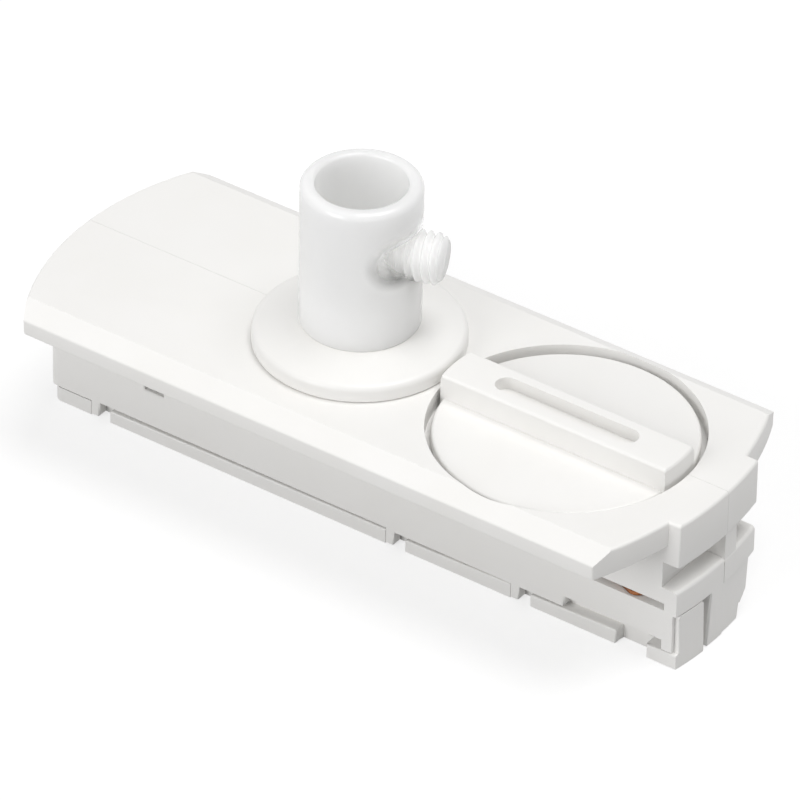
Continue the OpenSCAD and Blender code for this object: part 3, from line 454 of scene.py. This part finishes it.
class ADAPTER_OT_cord_grip(bpy.types.Operator):
    """Smooths the cord grip, cuts the thread of its clamp screw and finishes both in nylon"""
    bl_idname = "adapter.cord_grip"
    bl_label = "Cord grip"

    def execute(self, context):
        colour = context.scene.adapter_colours.nylon
        nylon = natural_nylon("natural_nylon", colour)
        finish_node("slip_washer", nylon)
        thread = context.scene.adapter_screw
        axis = next(j["axis"] for j in frame["joints"] if j["name"] == "clamp_travel")
        low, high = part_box("clamp_screw")
        diameter = high.z - low.z
        length = (high.x - low.x - diameter * abs(axis[1])) / abs(axis[0])
        start = (low + high) / 2 - Vector(axis) * length / 2
        mesh, work = joined_copy("cord_grip", "grip_tube")
        put_back(mesh, work)
        window = start + Vector(axis) * CLEAR_OUT + UPWARD * CLEAR_UP
        clear = natural_nylon("natural_nylon_tube", colour, window, Vector(axis).cross(UPWARD))
        show(mesh, "grip_tube", "housing", "natural_nylon", clear, "cord_grip")
        points = screw_surface(start, axis, length, diameter / 2, thread.pitch, thread.depth,
                               thread.chamfer)
        mesh = grid_mesh("thread_screw", points)
        mesh.shade_smooth()
        mesh.set_sharp_from_angle(angle=CREASE)
        show(mesh, "thread_screw", "clamp", "natural_nylon", nylon, "clamp_screw")
        return {"FINISHED"}


class ADAPTER_OT_contacts(bpy.types.Operator):
    """Finishes the copper contact arms and the brass wipers and terminal clamps"""
    bl_idname = "adapter.contacts"
    bl_label = "Contacts"

    def execute(self, context):
        colours = context.scene.adapter_colours
        copper = rolled_metal("rolled_copper", colours.copper, (0.8, 0.74, 0.7), 0.28)
        brass = rolled_metal("rolled_brass", colours.brass, (0.84, 0.8, 0.72), 0.32)
        for node in ("contact_arm_live", "contact_arm_neutral"):
            finish_node(node, copper)
        for node in ("wiper_live", "wiper_neutral", "terminal_clamp_live", "terminal_clamp_neutral"):
            finish_node(node, brass)
        return {"FINISHED"}


class ADAPTER_OT_fittings(bpy.types.Operator):
    """Finishes the plated steel fittings and the moulded insulators"""
    bl_idname = "adapter.fittings"
    bl_label = "Fittings"

    def execute(self, context):
        colours = context.scene.adapter_colours
        zinc = zinc_plating("zinc_plated_steel", colours.zinc)
        urea = moulded_urea("grey_urea", colours.insulator)
        for node in ("locking_wing", "rotor_washer", "rotor_screw", "terminal_screws", "hex_nut",
                     "toothed_washer", "cover_screws"):
            finish_node(node, zinc)
        for node in ("contact_rotor", "terminal_block"):
            finish_node(node, urea)
        return {"FINISHED"}


def seen_directly(tree):
    """1 for camera, glossy and transmission rays, which show the white background, and 0 for the rest."""
    path = add(tree, "ShaderNodeLightPath")
    first = add(tree, "ShaderNodeMath", operation="MAXIMUM",
                links={0: path.outputs["Is Camera Ray"], 1: path.outputs["Is Glossy Ray"]})
    both = add(tree, "ShaderNodeMath", operation="MAXIMUM",
               links={0: first.outputs[0], 1: path.outputs["Is Transmission Ray"]})
    return both.outputs[0]


def studio_paper():
    """White studio paper: matt, lit to white where it is seen, with the object's soft shadow left on it."""
    material = bpy.data.materials.new("studio_paper")
    material.use_nodes = True
    tree = material.node_tree
    tree.nodes.clear()
    paper = add(tree, "ShaderNodeBsdfDiffuse", {"Color": (PAPER_BOUNCE, PAPER_BOUNCE, PAPER_BOUNCE, 1)})
    matt = add(tree, "ShaderNodeBsdfDiffuse", {"Color": (PAPER_TONE, PAPER_TONE, PAPER_TONE, 1)})
    glow = add(tree, "ShaderNodeEmission", {"Color": (1, 1, 1, 1), "Strength": PAPER_GLOW})
    shown = add(tree, "ShaderNodeAddShader", links={0: matt.outputs[0], 1: glow.outputs[0]})
    mix = add(tree, "ShaderNodeMixShader",
              links={0: seen_directly(tree), 1: paper.outputs[0], 2: shown.outputs[0]})
    add(tree, "ShaderNodeOutputMaterial", links={"Surface": mix.outputs[0]})
    return material


class ADAPTER_OT_stage(bpy.types.Operator):
    """Lays the paper floor, lights it softly and sets the camera at the photograph's angle"""
    bl_idname = "adapter.stage"
    bl_label = "Stage"

    def execute(self, context):
        scene = context.scene
        stage = scene.adapter_stage
        side = np.linspace(-FLOOR_HALF, FLOOR_HALF, 3)
        across, along = np.meshgrid(side, side)
        corners = np.stack([across.ravel(), along.ravel(), np.full(9, -FLOOR_DROP)], axis=-1)
        faces = [(i, i + 1, i + 4, i + 3) for i in (0, 1, 3, 4)]
        mesh = bpy.data.meshes.new("paper_floor")
        mesh.from_pydata(corners.tolist(), [], faces)
        mesh.materials.append(studio_paper())
        floor = bpy.data.objects.new("paper_floor", mesh)
        scene.collection.objects.link(floor)

        world = bpy.data.worlds.new("studio_light")
        world.use_nodes = True
        tree = world.node_tree
        tree.nodes.clear()
        even = add(tree, "ShaderNodeBackground", {"Color": (1, 1, 1, 1), "Strength": stage.sky})
        white = add(tree, "ShaderNodeBackground", {"Color": (1, 1, 1, 1), "Strength": 1})
        mix = add(tree, "ShaderNodeMixShader",
                  links={0: seen_directly(tree), 1: even.outputs[0], 2: white.outputs[0]})
        add(tree, "ShaderNodeOutputWorld", links={"Surface": mix.outputs[0]})
        scene.world = world

        for name, power, place in (("upper_lamp", stage.key, UPPER_LAMP),
                                   ("front_lamp", stage.fill, FRONT_LAMP)):
            light = bpy.data.lights.new(name, "AREA")
            light.energy = power
            light.size = stage.lamp_size
            lamp = bpy.data.objects.new(name, light)
            lamp.location = place
            lamp.rotation_euler = (-place).to_track_quat("-Z", "Y").to_euler()
            scene.collection.objects.link(lamp)

        right = Vector((math.cos(stage.turn), math.sin(stage.turn), 0))
        level = math.cos(stage.tilt)
        back = Vector((math.sin(stage.turn) * level, -math.cos(stage.turn) * level, math.sin(stage.tilt)))
        up = back.cross(right)
        spot = Vector(stage.aim) + back * stage.distance - right * stage.pan - up * stage.lift
        facing = Matrix((right, up, back)).transposed().to_4x4()
        eye = bpy.data.cameras.new("photo_camera")
        eye.sensor_width = 36
        eye.lens = stage.lens
        camera = bpy.data.objects.new("photo_camera", eye)
        scene.collection.objects.link(camera)
        camera.matrix_world = Matrix.Translation(spot) @ facing @ Matrix.Rotation(stage.roll, 4, "Z")
        scene.camera = camera
        scene.view_settings.view_transform = "Standard"
        return {"FINISHED"}


STEPS = (ADAPTER_OT_shells, ADAPTER_OT_lock_knob, ADAPTER_OT_cord_grip, ADAPTER_OT_contacts,
         ADAPTER_OT_fittings, ADAPTER_OT_stage)
SETTINGS = {"adapter_edges": AdapterEdges, "adapter_screw": AdapterScrew,
            "adapter_colours": AdapterColours, "adapter_stage": AdapterStage}


class ADAPTER_PT_panel(bpy.types.Panel):
    """Lists the adapter's pieces and their settings"""
    bl_idname = "ADAPTER_PT_panel"
    bl_label = "Track light adapter"
    bl_space_type = "VIEW_3D"
    bl_region_type = "UI"
    bl_category = "Adapter"

    def draw(self, context):
        for step in STEPS:
            self.layout.operator(step.bl_idname)
        for name, group in SETTINGS.items():
            box = self.layout.box()
            for key in group.__annotations__:
                box.prop(getattr(context.scene, name), key)


def register():
    """Registers the settings, the operators and the panel."""
    for group in SETTINGS.values():
        bpy.utils.register_class(group)
    for name, group in SETTINGS.items():
        setattr(bpy.types.Scene, name, bpy.props.PointerProperty(type=group))
    for step in (*STEPS, ADAPTER_PT_panel):
        bpy.utils.register_class(step)


def unregister():
    """Takes back what register did."""
    for step in (ADAPTER_PT_panel, *reversed(STEPS)):
        bpy.utils.unregister_class(step)
    for name, group in SETTINGS.items():
        delattr(bpy.types.Scene, name)
        bpy.utils.unregister_class(group)


def main():
    register()
    bpy.ops.adapter.shells()
    bpy.ops.adapter.lock_knob()
    bpy.ops.adapter.cord_grip()
    bpy.ops.adapter.contacts()
    bpy.ops.adapter.fittings()
    bpy.ops.adapter.stage()


if __name__ == "__main__":
    main()
